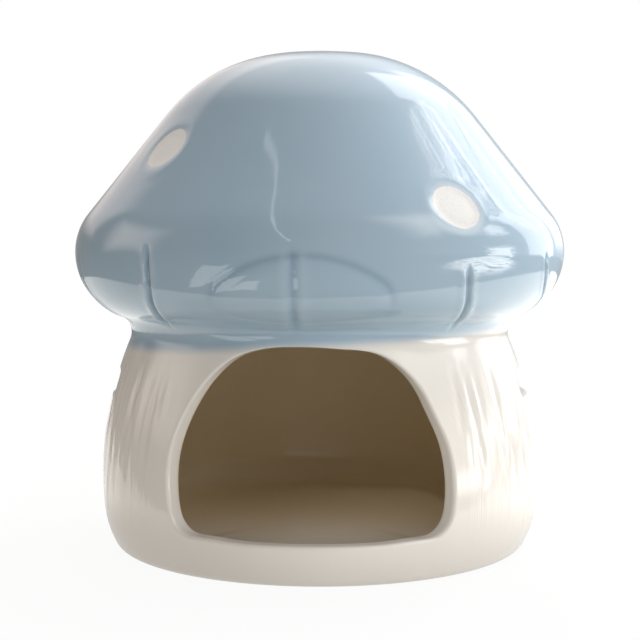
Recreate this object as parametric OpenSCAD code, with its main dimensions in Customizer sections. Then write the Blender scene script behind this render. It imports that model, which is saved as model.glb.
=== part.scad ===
// Hollow ceramic hideout for a hamster, in the shape of a mushroom.
// One thin-walled piece: a barrel-shaped stem with a floor, and a wide cap.
// Millimetres, Z up, the door faces -Y, origin at the centre of the base.

/* [Wall and floor] */
// Thickness of the cast wall
wall = 4.5; // [3.5:0.1:5.5]
// Height of the inside floor above the table
floor_z = 6; // [4.5:0.5:8]
// Depth of the unglazed hollow under the base
foot_depth = 1; // [0.4:0.1:1.5]
// Width of the foot ring that stands on the table
foot_w = 5; // [3:0.5:8]
// Radius of the rounded corner between the floor and the inside of the wall
inner_round = 7; // [4:0.5:9]

/* [Stem] */
// Radius of the stem at its widest
stem_r = 55.8; // [53:0.2:58]
// Height of the widest place of the stem
belly_z = 16; // [13:0.5:20]
// Radius of the arc below the widest place
stem_low_r = 31; // [26:1:40]
// Radius of the arc above the widest place
stem_up_r = 95; // [85:1:105]
// Radius of the rounded corner at the base
base_round = 3; // [2:0.5:5]
// Radius of the hollow throat where stem and cap meet
neck_r = 4.5; // [3:0.5:6]

/* [Cap] */
// Radius of the cap at its widest
cap_r = 62.5; // [61:0.5:65]
// Height of the whole house
height = 125.2; // [120:0.2:130]
// Height of the widest place of the cap
rim_z = 74; // [72:0.5:77]
// Radius of the rolled rim below the widest place
rim_low_r = 17.3; // [16:0.1:19]
// Radius of the rolled rim above the widest place
rim_up_r = 15.6; // [14:0.1:18]
// Lean of the straight side of the cap, against the cap's width and height
flank_lean = 0.64; // [0.6:0.01:0.68]
// Flatness of the top of the crown, against the cap's width and height
crown_flat = 1.114; // [1:0.002:1.3]
// Radius of the shoulder as a share of the radius of the crown
shoulder_part = 0.494; // [0.45:0.002:0.55]

/* [Door] */
// Angle that the door takes up, seen from the axis
door_a = 71.4; // [60:0.2:74]
// Height of the sill above the table
sill_z = 9.3; // [9:0.1:14]
// Height of the top of the door above the table
door_top = 52.8; // [48:0.2:53]
// Height at which the door is widest
door_mid = 21.5; // [20:0.5:24]
// Radius of its sides above that height
door_up_r = 33; // [32:1:40]
// Radius of its sides below that height
door_low_r = 22; // [18:1:26]
// Radius of the upper corners
door_shoulder_r = 20; // [14:1:22]
// Radius of the lower corners
door_foot_r = 7; // [4:0.5:8]

/* [Side windows] */
// Width of the window in each side
win_w = 32; // [16:1:36]
// Height of the window
win_h = 5.6; // [4.6:0.2:8]
// Height of the middle of the window above the table
win_z = 41.3; // [36:0.1:43]
// Radius of the corners of the window
win_round = 1.6; // [0.5:0.1:2]

/* [Spots] */
// Diameter of a bare round spot
spot_d = 12; // [9:0.5:14]
// Depth of a spot at its middle
spot_depth = 0.8; // [0.5:0.1:1.2]

/* [Relief on the cap] */
// Depth of a groove in the rim
rim_cut = 0.9; // [0.5:0.1:1.3]
// Radius of the round tool that shapes a groove
rim_tool_r = 1.8; // [1.5:0.1:2.4]
// Width of the raised oval above the door
oval_w = 41; // [30:1:46]
// Height of the top of the raised oval
oval_top = 73.6; // [71:0.2:76]
// Height of its lower edge
oval_low = 56.4; // [56:0.2:60]
// Radius of its two ends
oval_end_r = 4; // [2:0.5:6]
// Height of the relief of the oval
oval_rise = 0.6; // [0.4:0.1:1]

/* [Bark of the stem] */
// Radius of the round tool that presses a bark line
bark_tool_r = 1.5; // [1.2:0.1:2.2]
// Deepest bark line
bark_cut = 0.7; // [0.4:0.1:0.9]
// Angle between neighbouring bark lines
bark_step = 8; // [7:1:16]
// Half angle around the door that stays smooth
bark_free = 37; // [36:1:48]

/* [Hidden] */
cap_blue = "#8fafc4";
stem_white = "#efece4";
// Height of the line where the blue glaze ends
line_z = 53.4;
// Angle of each spot and its share of the cap's height, the last two on the back
spots = [[-46, 0.473], [34, 0.191], [134, 0.473], [214, 0.191]];
// Angles of the rim grooves that show from the front
rim_front = [-35, -2.6, 34, 61];
rim_hidden = 7;
rim_step = (360 + rim_front[0] - rim_front[3]) / (rim_hidden + 1);
rim_back = [for (i = [1:rim_hidden]) rim_front[3] + i * rim_step];
rim_angles = concat(rim_front, rim_back);

// Point where a circle round a and a circle round b cross, on the chosen side
function meet(a, ra, b, rb, side) =
    let (d = norm(b - a), u = (b - a) / d)
    let (s = (ra * ra - rb * rb + d * d) / (2 * d), h = sqrt(ra * ra - s * s))
    a + s * u + side * h * [u[1], -u[0]];
function unit(v) = v / norm(v);

// Centres of the arcs that make the silhouette, as [radius, height]
low_c = [stem_r - stem_low_r, belly_z];
up_c = [stem_r - stem_up_r, belly_z];
rim_low_c = [cap_r - rim_low_r, rim_z];
rim_up_c = [cap_r - rim_up_r, rim_z];
cap_h = height - rim_z;
crown_r = crown_flat * cap_r * cap_r / cap_h;
shoulder_r = shoulder_part * crown_r;
flank_a = atan(flank_lean * cap_r / cap_h);
crown_c = [0, height - crown_r];
neck_c = meet(up_c, stem_up_r + neck_r, rim_low_c, rim_low_r + neck_r, 1);
// The crown grows with the cap, and the shoulder touches its straight side and the crown
flank_n = [cos(flank_a), sin(flank_a)];
flank_t = [-sin(flank_a), cos(flank_a)];
flank_p = rim_up_c + (rim_up_r - shoulder_r) * flank_n;
flank_q = (flank_p - crown_c) * flank_t;
flank_l = norm(flank_p - crown_c);
crown_gap = crown_r - shoulder_r;
shoulder_s = sqrt(flank_q * flank_q - flank_l * flank_l + crown_gap * crown_gap);
shoulder_c = flank_p + (shoulder_s - flank_q) * flank_t;
big = 2 * cap_r;

// Points of an arc round c, without its last point
function arc(c, r, a0, a1, n) =
    [for (i = [0:n - 1]) let (a = a0 + (a1 - a0) * i / n) c + r * [cos(a), sin(a)]];
function angle(v) = atan2(v[1], v[0]);
function flip(points) = [for (i = [len(points) - 1:-1:0]) [-points[i][0], points[i][1]]];

// Half section of the solid form, with its skin moved inwards by t
function form(t, base_z, corner, fine) =
    let (corner_h = base_z + corner - belly_z, reach = stem_low_r - t - corner)
    let (corner_x = low_c[0] + sqrt(reach * reach - corner_h * corner_h))
    let (corner_c = [corner_x, base_z + corner])
    let (a_low = angle(corner_c - low_c), a_neck = angle(neck_c - up_c))
    let (a_rim = angle(neck_c - rim_low_c), a_crown = angle(shoulder_c - crown_c))
    concat(
        [[0, base_z]],
        arc(corner_c, corner, -90, a_low, 3),
        arc(low_c, stem_low_r - t, a_low, 0, 4 * fine),
        arc(up_c, stem_up_r - t, 0, a_neck, 6 * fine),
        arc(neck_c, neck_r + t, a_neck + 180, a_rim + 180, 5 * fine),
        arc(rim_low_c, rim_low_r - t, a_rim, 0, 6 * fine),
        arc(rim_up_c, rim_up_r - t, 0, flank_a, 4 * fine),
        arc(shoulder_c, shoulder_r - t, flank_a, a_crown, 6 * fine),
        arc(crown_c, crown_r - t, a_crown, 90, 3 * fine),
        [[0, height - t]]
    );

// Solid of revolution of the form
module turned(t, base_z, corner, fine = 1) {
    rotate_extrude($fn = 72) polygon(form(t, base_z, corner, fine));
}

// Turns a tool drawn in the plane y = 0 to an angle from the door
module at_angle(a) {
    rotate([0, 0, a - 90]) children();
}

// Right half of the door's outline, drawn on a sheet that stands door_y in front
// of the axis: from the sill up, in arcs that run into each other
door_y = 50;
function door_half() =
    let (half_w = door_y * tan(door_a / 2))
    let (low = [half_w - door_low_r, door_mid], up = [half_w - door_up_r, door_mid])
    let (foot_h = sill_z + door_foot_r - door_mid, foot_reach = door_low_r - door_foot_r)
    let (foot = low + [sqrt(foot_reach * foot_reach - foot_h * foot_h), foot_h])
    let (top_h = door_top - door_shoulder_r - door_mid)
    let (top_reach = door_up_r - door_shoulder_r)
    let (top = up + [sqrt(top_reach * top_reach - top_h * top_h), top_h])
    concat(
        arc(foot, door_foot_r, -90, angle(foot - low), 4),
        arc(low, door_low_r, angle(foot - low), 0, 3),
        arc(up, door_up_r, 0, angle(top - up), 5),
        arc(top, door_shoulder_r, angle(top - up), 90, 4),
        [top + [0, door_shoulder_r]]
    );

// Passage of the door: its jambs point at the axis, square to the wall
module door_passage() {
    outline = concat(door_half(), flip(door_half()));
    n = len(outline);
    near = [for (p = outline) [0.6 * p[0], -0.6 * door_y, p[1]]];
    far = [for (p = outline) [1.4 * p[0], -1.4 * door_y, p[1]]];
    jambs = [for (i = [0:n - 1]) let (j = (i + 1) % n) each [[n + i, n + j, j], [n + i, j, i]]];
    ends = [[for (i = [0:n - 1]) i], [for (i = [n - 1:-1:0]) n + i]];
    polyhedron(concat(near, far), concat(ends, jambs));
}

// Both windows, cut straight across
module window_passage() {
    c = [win_w / 2 - win_round, win_h / 2 - win_round];
    half = concat(arc([c[0], -c[1]], win_round, -90, 0, 3), arc(c, win_round, 0, 90, 3));
    rotate([90, 0, 90]) translate([0, win_z]) linear_extrude(2 * big, center = true)
        polygon(concat(half, [[c[0], win_h / 2]], flip(half), [[-c[0], -win_h / 2]]));
}

// Round hollow for a bare spot, square to the straight side of the cap
module spot(a, share) {
    along = (share * cap_h - rim_up_r * flank_n[1]) / flank_t[1];
    p = rim_up_c + rim_up_r * flank_n + along * flank_t;
    at_angle(a) translate([p[0], 0, p[1]]) rotate([0, 90 - flank_a, 0])
        translate([0, 0, -spot_depth]) cylinder(h = 10, d = spot_d, $fn = 48);
}

// Groove that is deepest under the rim and runs out at both ends
module rim_groove(a) {
    mid_a = -32;
    shift = 6;
    path_r = rim_low_r + rim_tool_r - rim_cut + shift;
    c = rim_low_c - shift * [cos(mid_a), sin(mid_a)];
    at_angle(a) translate([c[0], 0, c[1]]) rotate([90, 0, 0])
        rotate([0, 0, mid_a - 29]) rotate_extrude(angle = 67, $fn = 60)
        translate([path_r, 0]) circle(r = rim_tool_r, $fn = 16);
}

// Right half of the raised oval: a lower and an upper arc round a small end
function oval_half() =
    let (r = oval_end_r, x = oval_w / 2 - r, z = (oval_low + oval_top) / 2)
    let (up = oval_top - z - r, down = z - oval_low - r)
    let (r_up = (x * x + up * up) / (2 * up), r_down = (x * x + down * down) / (2 * down))
    let (c_up = [0, oval_top - r - r_up], c_down = [0, oval_low + r + r_down])
    let (a_up = angle([x, z] - c_up), a_down = angle([x, z] - c_down))
    concat(
        arc(c_down, r_down + r, -90, a_down, 6),
        arc([x, z], r, a_down, a_up, 5),
        arc(c_up, r_up + r, a_up, 90, 6)
    );

// Raised skin of the oval
module oval_pad() {
    intersection() {
        turned(-oval_rise, 0, base_round);
        rotate([90, 0, 0]) linear_extrude(big)
            polygon(concat(oval_half(), [[0, oval_top]], flip(oval_half())));
    }
}

// Bark line i of n: a straight round stroke that leaves the barrel at both ends
module bark_line(a, i) {
    lift = 0.5 + 0.5 * sin(137 * i);
    depth = bark_cut * (0.55 + 0.45 * lift);
    z = 27 + 9 * sin(205 * i);
    lean = 2.2 * sin(71 * i);
    tilt = asin((z - belly_z) / stem_up_r);
    reach = stem_up_r + bark_tool_r - depth;
    at_angle(a) translate([up_c[0], 0, up_c[1]]) rotate([0, -tilt, 0])
        translate([reach, 0, 0]) rotate([lean, 0, 0])
        cylinder(h = 40, r = bark_tool_r, center = true, $fn = 16);
}

module bark() {
    n = floor((360 - 2 * bark_free) / bark_step);
    for (i = [0:n]) bark_line(bark_free + i * (360 - 2 * bark_free) / n, i);
}

// Hollow under the base, left bare of glaze
module foot_hollow() {
    translate([0, 0, -1])
        cylinder(h = 1 + foot_depth, r = stem_r - base_round - foot_w - 3, $fn = 72);
}

// Hollow of the casting
module hollow() {
    turned(wall, floor_z, inner_round);
}

// Everything below the line of the blue glaze, or above it
module slab(z0, z1) {
    translate([0, 0, (z0 + z1) / 2]) cube([2 * big, 2 * big, z1 - z0], center = true);
}

// White stem with its floor, door, windows and bark
module stem() {
    color(stem_white) difference() {
        intersection() {
            turned(0, 0, base_round);
            slab(0, line_z);
        }
        hollow();
        foot_hollow();
        door_passage();
        window_passage();
        bark();
    }
}

// Blue cap with its oval, rim grooves and spots
module cap() {
    color(cap_blue) difference() {
        intersection() {
            union() {
                turned(0, 0, base_round);
                oval_pad();
            }
            slab(line_z, 2 * height);
        }
        hollow();
        for (a = rim_angles) rim_groove(a);
        for (s = spots) spot(s[0], s[1]);
    }
}

// The whole piece, cast in one
module hideout() {
    stem();
    cap();
}

hideout();
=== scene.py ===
# %% [markdown]
# # A ceramic mushroom hideout for a hamster
#
# The real object is one slip-cast piece: a hollow barrel-shaped stem with a floor, and a
# wide hollow cap that runs into it without a seam. It was cast in a plaster mould, cut open
# for the door and the side windows while the clay was soft, and dipped in two glazes.
# The lesson builds that one shell, glazes it, and lights it as in a small studio.

import math

import bpy
import numpy as np
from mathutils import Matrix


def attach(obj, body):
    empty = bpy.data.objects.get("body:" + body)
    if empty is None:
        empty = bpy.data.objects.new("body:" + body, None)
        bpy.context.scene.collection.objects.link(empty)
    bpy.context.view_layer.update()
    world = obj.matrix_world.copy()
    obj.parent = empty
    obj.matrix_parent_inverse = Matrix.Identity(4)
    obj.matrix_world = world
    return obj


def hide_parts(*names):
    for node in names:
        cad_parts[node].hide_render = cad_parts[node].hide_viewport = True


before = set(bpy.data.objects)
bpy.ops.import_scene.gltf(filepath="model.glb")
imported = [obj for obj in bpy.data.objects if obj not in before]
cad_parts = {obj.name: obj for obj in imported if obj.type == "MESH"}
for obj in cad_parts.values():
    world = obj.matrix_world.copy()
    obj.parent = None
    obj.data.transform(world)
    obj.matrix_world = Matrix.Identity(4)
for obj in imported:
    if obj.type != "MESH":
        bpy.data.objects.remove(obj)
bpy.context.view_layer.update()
bpy.ops.object.select_all(action="DESELECT")

# %% [markdown]
# ## The half section
#
# A potter turns the model for the mould on a wheel, so every height has one radius. The
# silhouette is a chain of circular arcs that run into each other: base corner, two arcs of
# the barrel, the tight throat, two arcs of the rolled rim, a straight side, the shoulder and
# the flat crown. Writing the arcs down with their real radii in millimetres keeps the curve
# clean, which a hand-drawn outline on such glossy glaze wouldn't be.

# %% Arcs of the silhouette, in millimetres
MM = 0.001
WALL, FLOOR_Z, FOOT_DEPTH = 4.5, 6.0, 1.0
HEIGHT = 125.2
BASE_CORNER, FLOOR_CORNER = 3.0, 7.0
# Middles of the arcs as (distance from the axis, height), then their radii on the outside
LOW, UP, NECK = (24.8, 16.0), (-39.2, 16.0), (52.92, 53.61)
RIM_LOW, RIM_UP, SHOULDER, CROWN = (45.2, 74.0), (46.9, 74.0), (6.62, 82.70), (0.0, 40.21)
R_LOW, R_UP, R_NECK = 31.0, 95.0, 4.5
R_RIM_LOW, R_RIM_UP, R_SHOULDER, R_CROWN = 17.3, 15.6, 42.0, 85.0
# Angles above the horizontal at which one arc hands over to the next
A_NECK, A_RIM, FLANK, A_CROWN = 22.2, -69.3, 38.0, 81.15


def at_angle(centre, radius, degrees):
    """Point of a circle at an angle above the horizontal."""
    a = math.radians(degrees)
    return centre[0] + radius * math.cos(a), centre[1] + radius * math.sin(a)


def arc(centre, radius, start, end, count):
    """Points of an arc as (distance from the axis, height), without its last point."""
    return [at_angle(centre, radius, a) for a in np.linspace(start, end, count, endpoint=False)]


def angle_from(centre, point):
    """Angle above the horizontal at which a point is seen from a centre."""
    return math.degrees(math.atan2(point[1] - centre[1], point[0] - centre[0]))


def section(inset, base, corner, steps):
    """Half section with its skin moved inwards; steps are the points on each of its nine stretches."""
    reach, drop = R_LOW - inset - corner, base + corner - LOW[1]
    corner_at = (LOW[0] + math.sqrt(reach**2 - drop**2), base + corner)
    a_low = angle_from(LOW, corner_at)
    x0, z0 = at_angle(RIM_UP, R_RIM_UP - inset, FLANK)
    x1, z1 = at_angle(SHOULDER, R_SHOULDER - inset, FLANK)
    share = np.linspace(0, 1, steps[6], endpoint=False)
    parts = [
        arc(corner_at, corner, -90, a_low, steps[0]),
        arc(LOW, R_LOW - inset, a_low, 0, steps[1]),
        arc(UP, R_UP - inset, 0, A_NECK, steps[2]),
        arc(NECK, R_NECK + inset, A_NECK + 180, A_RIM + 180, steps[3]),
        arc(RIM_LOW, R_RIM_LOW - inset, A_RIM, 0, steps[4]),
        arc(RIM_UP, R_RIM_UP - inset, 0, FLANK, steps[5]),
        [(x0 + t * (x1 - x0), z0 + t * (z1 - z0)) for t in share],
        arc(SHOULDER, R_SHOULDER - inset, FLANK, A_CROWN, steps[7]),
        arc(CROWN, R_CROWN - inset, A_CROWN, 90, steps[8]),
    ]
    return [p for part in parts for p in part] + [(0.0, HEIGHT - inset)]


foot_ring = [(0.0, FOOT_DEPTH), (30, FOOT_DEPTH), (44.3, FOOT_DEPTH), (45.2, 0.0), (47.3, 0.0)]
cabin_floor = [(0.0, FLOOR_Z), (20, FLOOR_Z), (36, FLOOR_Z)]
outside = foot_ring + section(0, 0, BASE_CORNER, (3, 3, 11, 4, 7, 4, 5, 5, 3))
inside = cabin_floor + section(WALL, FLOOR_Z, FLOOR_CORNER, (2, 2, 9, 3, 4, 2, 3, 3, 2))
print(len(outside), "rows outside,", len(inside), "rows inside")

# %% [markdown]
# ## Columns round the axis
#
# The rim has soft grooves, pressed into the model with a round stick. They come out best
# where a row of points runs along each of them, so the columns round the axis are spaced to
# start on the grooves instead of being spread evenly. Only the four in front, which lean a
# little, leave their columns on the way down.

# %% Columns that fall on the rim grooves
COLUMNS = 96
groove_at = [-35.0, -2.6, 34.0, 61.0] + [61.0 + 33.0 * i for i in range(1, 8)]
groove_column = [0, 9, 19, 26, 35, 44, 53, 62, 70, 79, 88, 96]
column_at = np.interp(np.arange(COLUMNS), groove_column, groove_at + [325.0])
print("columns", COLUMNS, "with a mean step of", round(float(np.diff(column_at).mean()), 2), "degrees")

# %% [markdown]
# ## Spinning the cage
#
# A profile spun round the axis gives a light cage of four-sided faces. It stays light on
# purpose: a Subdivision Surface smooths it later, and few points are easy to move when the
# door and the windows are opened.

# %% Spin the two half sections into a cage
start_turn = math.radians(column_at[0])
sideways, forwards = math.sin(start_turn), -math.cos(start_turn)
points = [(r * MM * sideways, r * MM * forwards, z * MM) for r, z in outside + inside]
first = len(outside)
edges = [(i, i + 1) for i in range(len(points) - 1) if i + 1 != first]
half = bpy.data.meshes.new("shell")
half.from_pydata(points, edges, [])
shell = bpy.data.objects.new("shell", half)
bpy.context.scene.collection.objects.link(shell)
bpy.context.view_layer.objects.active = shell
shell.select_set(True)
bpy.ops.object.mode_set(mode="EDIT")
bpy.ops.mesh.select_all(action="SELECT")
bpy.ops.mesh.spin(steps=COLUMNS, angle=2 * math.pi, center=(0, 0, 0), axis=(0, 0, 1))
bpy.ops.mesh.select_all(action="SELECT")
bpy.ops.mesh.remove_doubles(threshold=1e-6)
bpy.ops.object.mode_set(mode="OBJECT")
print("cage:", len(half.vertices), "points,", len(half.polygons), "faces")


# %% Give every point of the cage its column and row
def read_points(mesh):
    """Places of a mesh's points, in metres."""
    flat = np.empty(len(mesh.vertices) * 3)
    mesh.vertices.foreach_get("co", flat)
    return flat.reshape(-1, 3)


def azimuth(place):
    """Angle round the axis in degrees: 0 is the door, 90 the side at +X."""
    return np.degrees(np.arctan2(place[:, 0], -place[:, 1]))


rows = np.array(outside + inside)
place = read_points(half)
column = np.round((azimuth(place) - column_at[0]) / 360 * COLUMNS).astype(int) % COLUMNS
flat_place = np.stack([np.hypot(place[:, 0], place[:, 1]), place[:, 2]], 1) / MM
row = ((flat_place[:, None, :] - rows[None]) ** 2).sum(2).argmin(1)
print("rows found", len(set(row)), "columns found", len(set(column)))

# %% [markdown]
# ## The door
#
# The door is a broad arch, widest at a third of its height, with small corners at the sill.
# A Boolean would cut it too, and leave needle-thin faces that show in the gloss. Here a
# rectangle of cage faces is taken out, and its edge is pulled onto the arch, while the
# points around it follow like a rubber sheet. So the loops run round the door, and the cut
# edge gets the soft lip that glaze leaves on a wet-cut wall.

# %% Outline of the door as angles round the axis and heights
DOOR_Y, HALF_ANGLE = 50.0, 35.7
SILL_Z, DOOR_TOP, DOOR_MID = 9.3, 52.8, 21.5
R_SILL, R_LOWER, R_UPPER, R_TOP = 7, 22, 33, 20
half_w = DOOR_Y * math.tan(math.radians(HALF_ANGLE))


def door_outline():
    """Right half of the door from the middle of the sill to the middle of the top, closely spaced."""
    low, up = (half_w - R_LOWER, DOOR_MID), (half_w - R_UPPER, DOOR_MID)
    foot_h, top_h = SILL_Z + R_SILL - DOOR_MID, DOOR_TOP - R_TOP - DOOR_MID
    foot = (low[0] + math.sqrt((R_LOWER - R_SILL) ** 2 - foot_h**2), SILL_Z + R_SILL)
    top = (up[0] + math.sqrt((R_UPPER - R_TOP) ** 2 - top_h**2), DOOR_TOP - R_TOP)
    a_foot, a_top = angle_from(low, foot), angle_from(up, top)
    line = [(x, SILL_Z) for x in np.linspace(0, foot[0], 30, endpoint=False)]
    line += arc(foot, R_SILL, -90, a_foot, 30) + arc(low, R_LOWER, a_foot, 0, 30)
    line += arc(up, R_UPPER, 0, a_top, 30) + arc(top, R_TOP, a_top, 90, 40)
    line += [(x, DOOR_TOP) for x in np.linspace(top[0], 0, 20)]
    line = np.array(line)
    return np.stack([np.degrees(np.arctan(line[:, 0] / DOOR_Y)), line[:, 1]], 1)


arch = door_outline()
print("door", round(2 * half_w, 1), "mm wide on its sheet, sill", SILL_Z, "top", DOOR_TOP)


# %% A skin: the half section as a close chain of points with lengths and normals
STEM_TOP = 56


class Skin:
    """A surface of revolution that any point can be laid on or measured from."""

    def __init__(self, chain):
        chain = np.array(chain)
        step = np.hypot(*np.diff(chain, axis=0).T)
        chain = chain[np.r_[True, step > 1e-6]]
        length = np.r_[0, np.cumsum(np.hypot(*np.diff(chain, axis=0).T))]
        self.s = np.arange(0, length[-1], 0.1)
        self.r = np.interp(self.s, length, chain[:, 0])
        self.z = np.interp(self.s, length, chain[:, 1])
        slope = np.stack([np.gradient(self.r), np.gradient(self.z)], 1)
        slope /= np.hypot(slope[:, 0], slope[:, 1])[:, None]
        self.out = np.stack([slope[:, 1], -slope[:, 0]], 1)

    def length_at(self, height):
        """Length along the section at a height, on the stem side of the throat."""
        start = int(self.z.argmin()) + 1
        stop = start + int(np.argmax(self.z[start:] >= STEM_TOP))
        return np.interp(height, self.z[start:stop], self.s[start:stop])

    def lay(self, angle, s, lift=0.0):
        """Places in metres at an angle and a length along the section, lifted off the skin."""
        r = np.interp(s, self.s, self.r) + lift * np.interp(s, self.s, self.out[:, 0])
        z = np.interp(s, self.s, self.z) + lift * np.interp(s, self.s, self.out[:, 1])
        turn = np.radians(angle)
        return np.stack([r * np.sin(turn), -r * np.cos(turn), z], -1) * MM

    def measure(self, place):
        """For places in metres: angle, length along the section, and height off the skin."""
        r, z = np.hypot(place[:, 0], place[:, 1]) / MM, place[:, 2] / MM
        near, batch = np.empty(len(r), int), 4000
        for i in range(0, len(r), batch):
            d = (r[i : i + batch, None] - self.r) ** 2 + (z[i : i + batch, None] - self.z) ** 2
            near[i : i + batch] = d.argmin(1)
        along_r, along_z = -self.out[near, 1], self.out[near, 0]
        dr, dz = r - self.r[near], z - self.z[near]
        s = self.s[near] + np.clip(dr * along_r + dz * along_z, -0.06, 0.06)
        return azimuth(place), s, dr * self.out[near, 0] + dz * self.out[near, 1]


fine = (30, 60, 160, 60, 80, 60, 20, 80, 60)
skin_out = Skin(foot_ring + section(0, 0, BASE_CORNER, fine))
skin_in = Skin(cabin_floor + section(WALL, FLOOR_Z, FLOOR_CORNER, fine))
print("the section is", round(skin_out.s[-1]), "mm long outside and", round(skin_in.s[-1]), "mm inside")


# %% Rows and columns of the openings, and helpers that find and shape their edges
# The skin is unrolled onto a sheet of this radius; the lip is the first row of faces round a cut
SHEET_R, LIP, CORNER_PUSH = 54.0, 2.3, 1.3
# Only rows of the stem and the lower rim may move, and the sheet settles in this many steps
FREE_ROWS, RELAX_STEPS = {"out": (6, 27), "in": (3, 19)}, 600
DOOR_COLUMNS, DOOR_ROWS = (0, 19), {"out": (10, 22), "in": (4, 16)}
WINDOW_COLUMNS, WINDOW_ROWS = [(29, 38), (77, 86)], {"out": (18, 20), "in": (13, 15)}
WIN_HALF, WIN_LOW, WIN_HIGH = 16.0, 38.5, 44.1
window_x = [-WIN_HALF - LIP, -WIN_HALF, WIN_HALF, WIN_HALF + LIP]
window_z = [WIN_LOW - LIP, WIN_LOW, WIN_HIGH, WIN_HIGH + LIP]


def rim_of(columns, rows_):
    """Grid places round a rectangle of faces, from its lower left corner, counter-clockwise."""
    (c0, c1), (r0, r1) = columns, rows_
    loop = [(r0, c) for c in range(c0, c1)] + [(r, c1) for r in range(r0, r1)]
    return loop + [(r1, c) for c in range(c1, c0, -1)] + [(r, c0) for r in range(r1, r0, -1)]


def bell(x, width):
    """Soft bump of height 1 whose slopes are about as wide as given."""
    return np.exp(-((x / width) ** 2))


def hand_cut(line):
    """The arch with the slips of the knife, up to about a millimetre, as (across, height)."""
    x, z = line[:, 0].copy(), line[:, 1].copy()
    up, low = z > 45, z < 12
    z -= up * (0.65 * bell(x - 11, 7) + 0.5 * bell(x + 14, 5))
    z += low * (0.5 + 0.6 * bell(np.abs(x) - 25, 6))
    x -= (x < 0) * 0.75 * bell(z - 28, 8) + (x > 0) * 0.85 * bell(z - 37.5, 4.5)
    return np.stack([x, z], 1)


def door_targets(count_side, count_up):
    """Where the door's edge points go, evenly along the arch, as (sheet x, height)."""
    right = np.stack([np.radians(arch[:, 0]) * SHEET_R, arch[:, 1]], 1)
    whole = hand_cut(np.concatenate([right, (right * [-1, 1])[::-1][1:-1]]))
    closed = np.vstack([whole, whole[:1]])
    length = np.r_[0, np.cumsum(np.hypot(*np.diff(closed, axis=0).T))]
    total = 2 * (count_side + count_up)
    want = (np.arange(total) - count_side / 2) / total * length[-1] % length[-1]
    return np.stack([np.interp(want, length, closed[:, i]) for i in (0, 1)], 1)


print("windows", 2 * WIN_HALF, "mm wide and", round(WIN_HIGH - WIN_LOW, 1), "mm high")


# %% Pull the edge of each opening onto its outline, and let the cage around it follow
def move_grid(skin, which, count):
    """New angle and length for each row and column, as a rubber sheet with the openings held."""
    base = 0 if which == "out" else first
    row_s = skin.measure(np.array([(r * MM, 0, z * MM) for r, z in rows[base : base + count]]))[1]
    start = np.stack([np.broadcast_to(np.radians(column_at) * SHEET_R, (count, COLUMNS)),
                      np.broadcast_to(row_s[:, None], (count, COLUMNS))], -1)
    goal, held = np.zeros_like(start), np.zeros((count, COLUMNS), bool)

    def hold(r, c, x, s):
        wrap = 2 * math.pi * SHEET_R
        away = (x - start[r, c % COLUMNS, 0] + wrap / 2) % wrap - wrap / 2
        goal[r, c % COLUMNS], held[r, c % COLUMNS] = (away, s - start[r, c % COLUMNS, 1]), True

    (c0, c1), (r0, r1) = DOOR_COLUMNS, DOOR_ROWS[which]
    held[r0 + 1 : r1, c0 + 1 : c1] = True
    loop = rim_of((c0, c1), (r0, r1))
    want = door_targets(c1 - c0, r1 - r0)
    want[:, 1] = skin.length_at(want[:, 1])
    ahead = np.roll(want, -1, 0) - np.roll(want, 1, 0)
    ahead /= np.hypot(*ahead.T)[:, None]
    off = want + np.stack([ahead[:, 1], -ahead[:, 0]], 1) * LIP
    for (r, c), at, far, along in zip(loop, want, off, ahead):
        hold(r, c, *at)
        dr, dc = (r == r1) - (r == r0), (c == c1) - (c == c0)
        if dr and dc:
            turn = dr * dc
            hold(r + dr, c + dc, *far)
            hold(r + dr, c, *(far + turn * along * CORNER_PUSH))
            hold(r, c + dc, *(far - turn * along * CORNER_PUSH))
        else:
            hold(r + dr, c + dc, *far)
    for (c0, c1), middle in zip(WINDOW_COLUMNS, (90.0, 270.0)):
        r0, r1 = WINDOW_ROWS[which]
        held[r0:r1, c0 + 1 : c1] = True
        for r in range(r0 - 1, r1 + 2):
            for c in range(c0 - 1, c1 + 2):
                if r0 < r < r1 and c0 < c < c1:
                    continue
                s = float(skin.length_at(np.interp(r, [r0 - 1, r0, r1, r1 + 1], window_z)))
                side = np.interp(c, [c0 - 1, c0, c1, c1 + 1], window_x)
                turn = middle + math.degrees(math.asin(side / float(np.interp(s, skin.s, skin.r))))
                hold(r, c, math.radians(turn) * SHEET_R, s)
    free_from, free_to = FREE_ROWS[which]
    held[:free_from] = held[free_to:] = True
    shift = goal.copy()
    for _ in range(RELAX_STEPS):
        around = np.roll(shift, 1, 0) + np.roll(shift, -1, 0) + np.roll(shift, 1, 1) + np.roll(shift, -1, 1)
        shift = np.where(held[..., None], goal, around / 4)
    moved = start + shift
    return np.degrees(moved[..., 0]) / SHEET_R, moved[..., 1]


new_place = place.copy()
for skin, which, base, count in ((skin_out, "out", 0, first), (skin_in, "in", first, len(rows) - first)):
    angle_grid, s_grid = move_grid(skin, which, count)
    mine = (row > base) & (row < base + count - 1)
    at = (row[mine] - base, column[mine])
    new_place[mine] = skin.lay(angle_grid[at], s_grid[at])
half.vertices.foreach_set("co", new_place.ravel())
half.update()
largest = float(np.linalg.norm(new_place - place, axis=1).max())
print("largest move of a cage point", round(largest / MM, 1), "mm")

# %% Take out the faces of the openings and join the two skins round each of them
holes = []
for which, base in (("out", 0), ("in", first)):
    holes.append((DOOR_COLUMNS, tuple(base + r for r in DOOR_ROWS[which])))
    holes += [(c, tuple(base + r for r in WINDOW_ROWS[which])) for c in WINDOW_COLUMNS]


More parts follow.
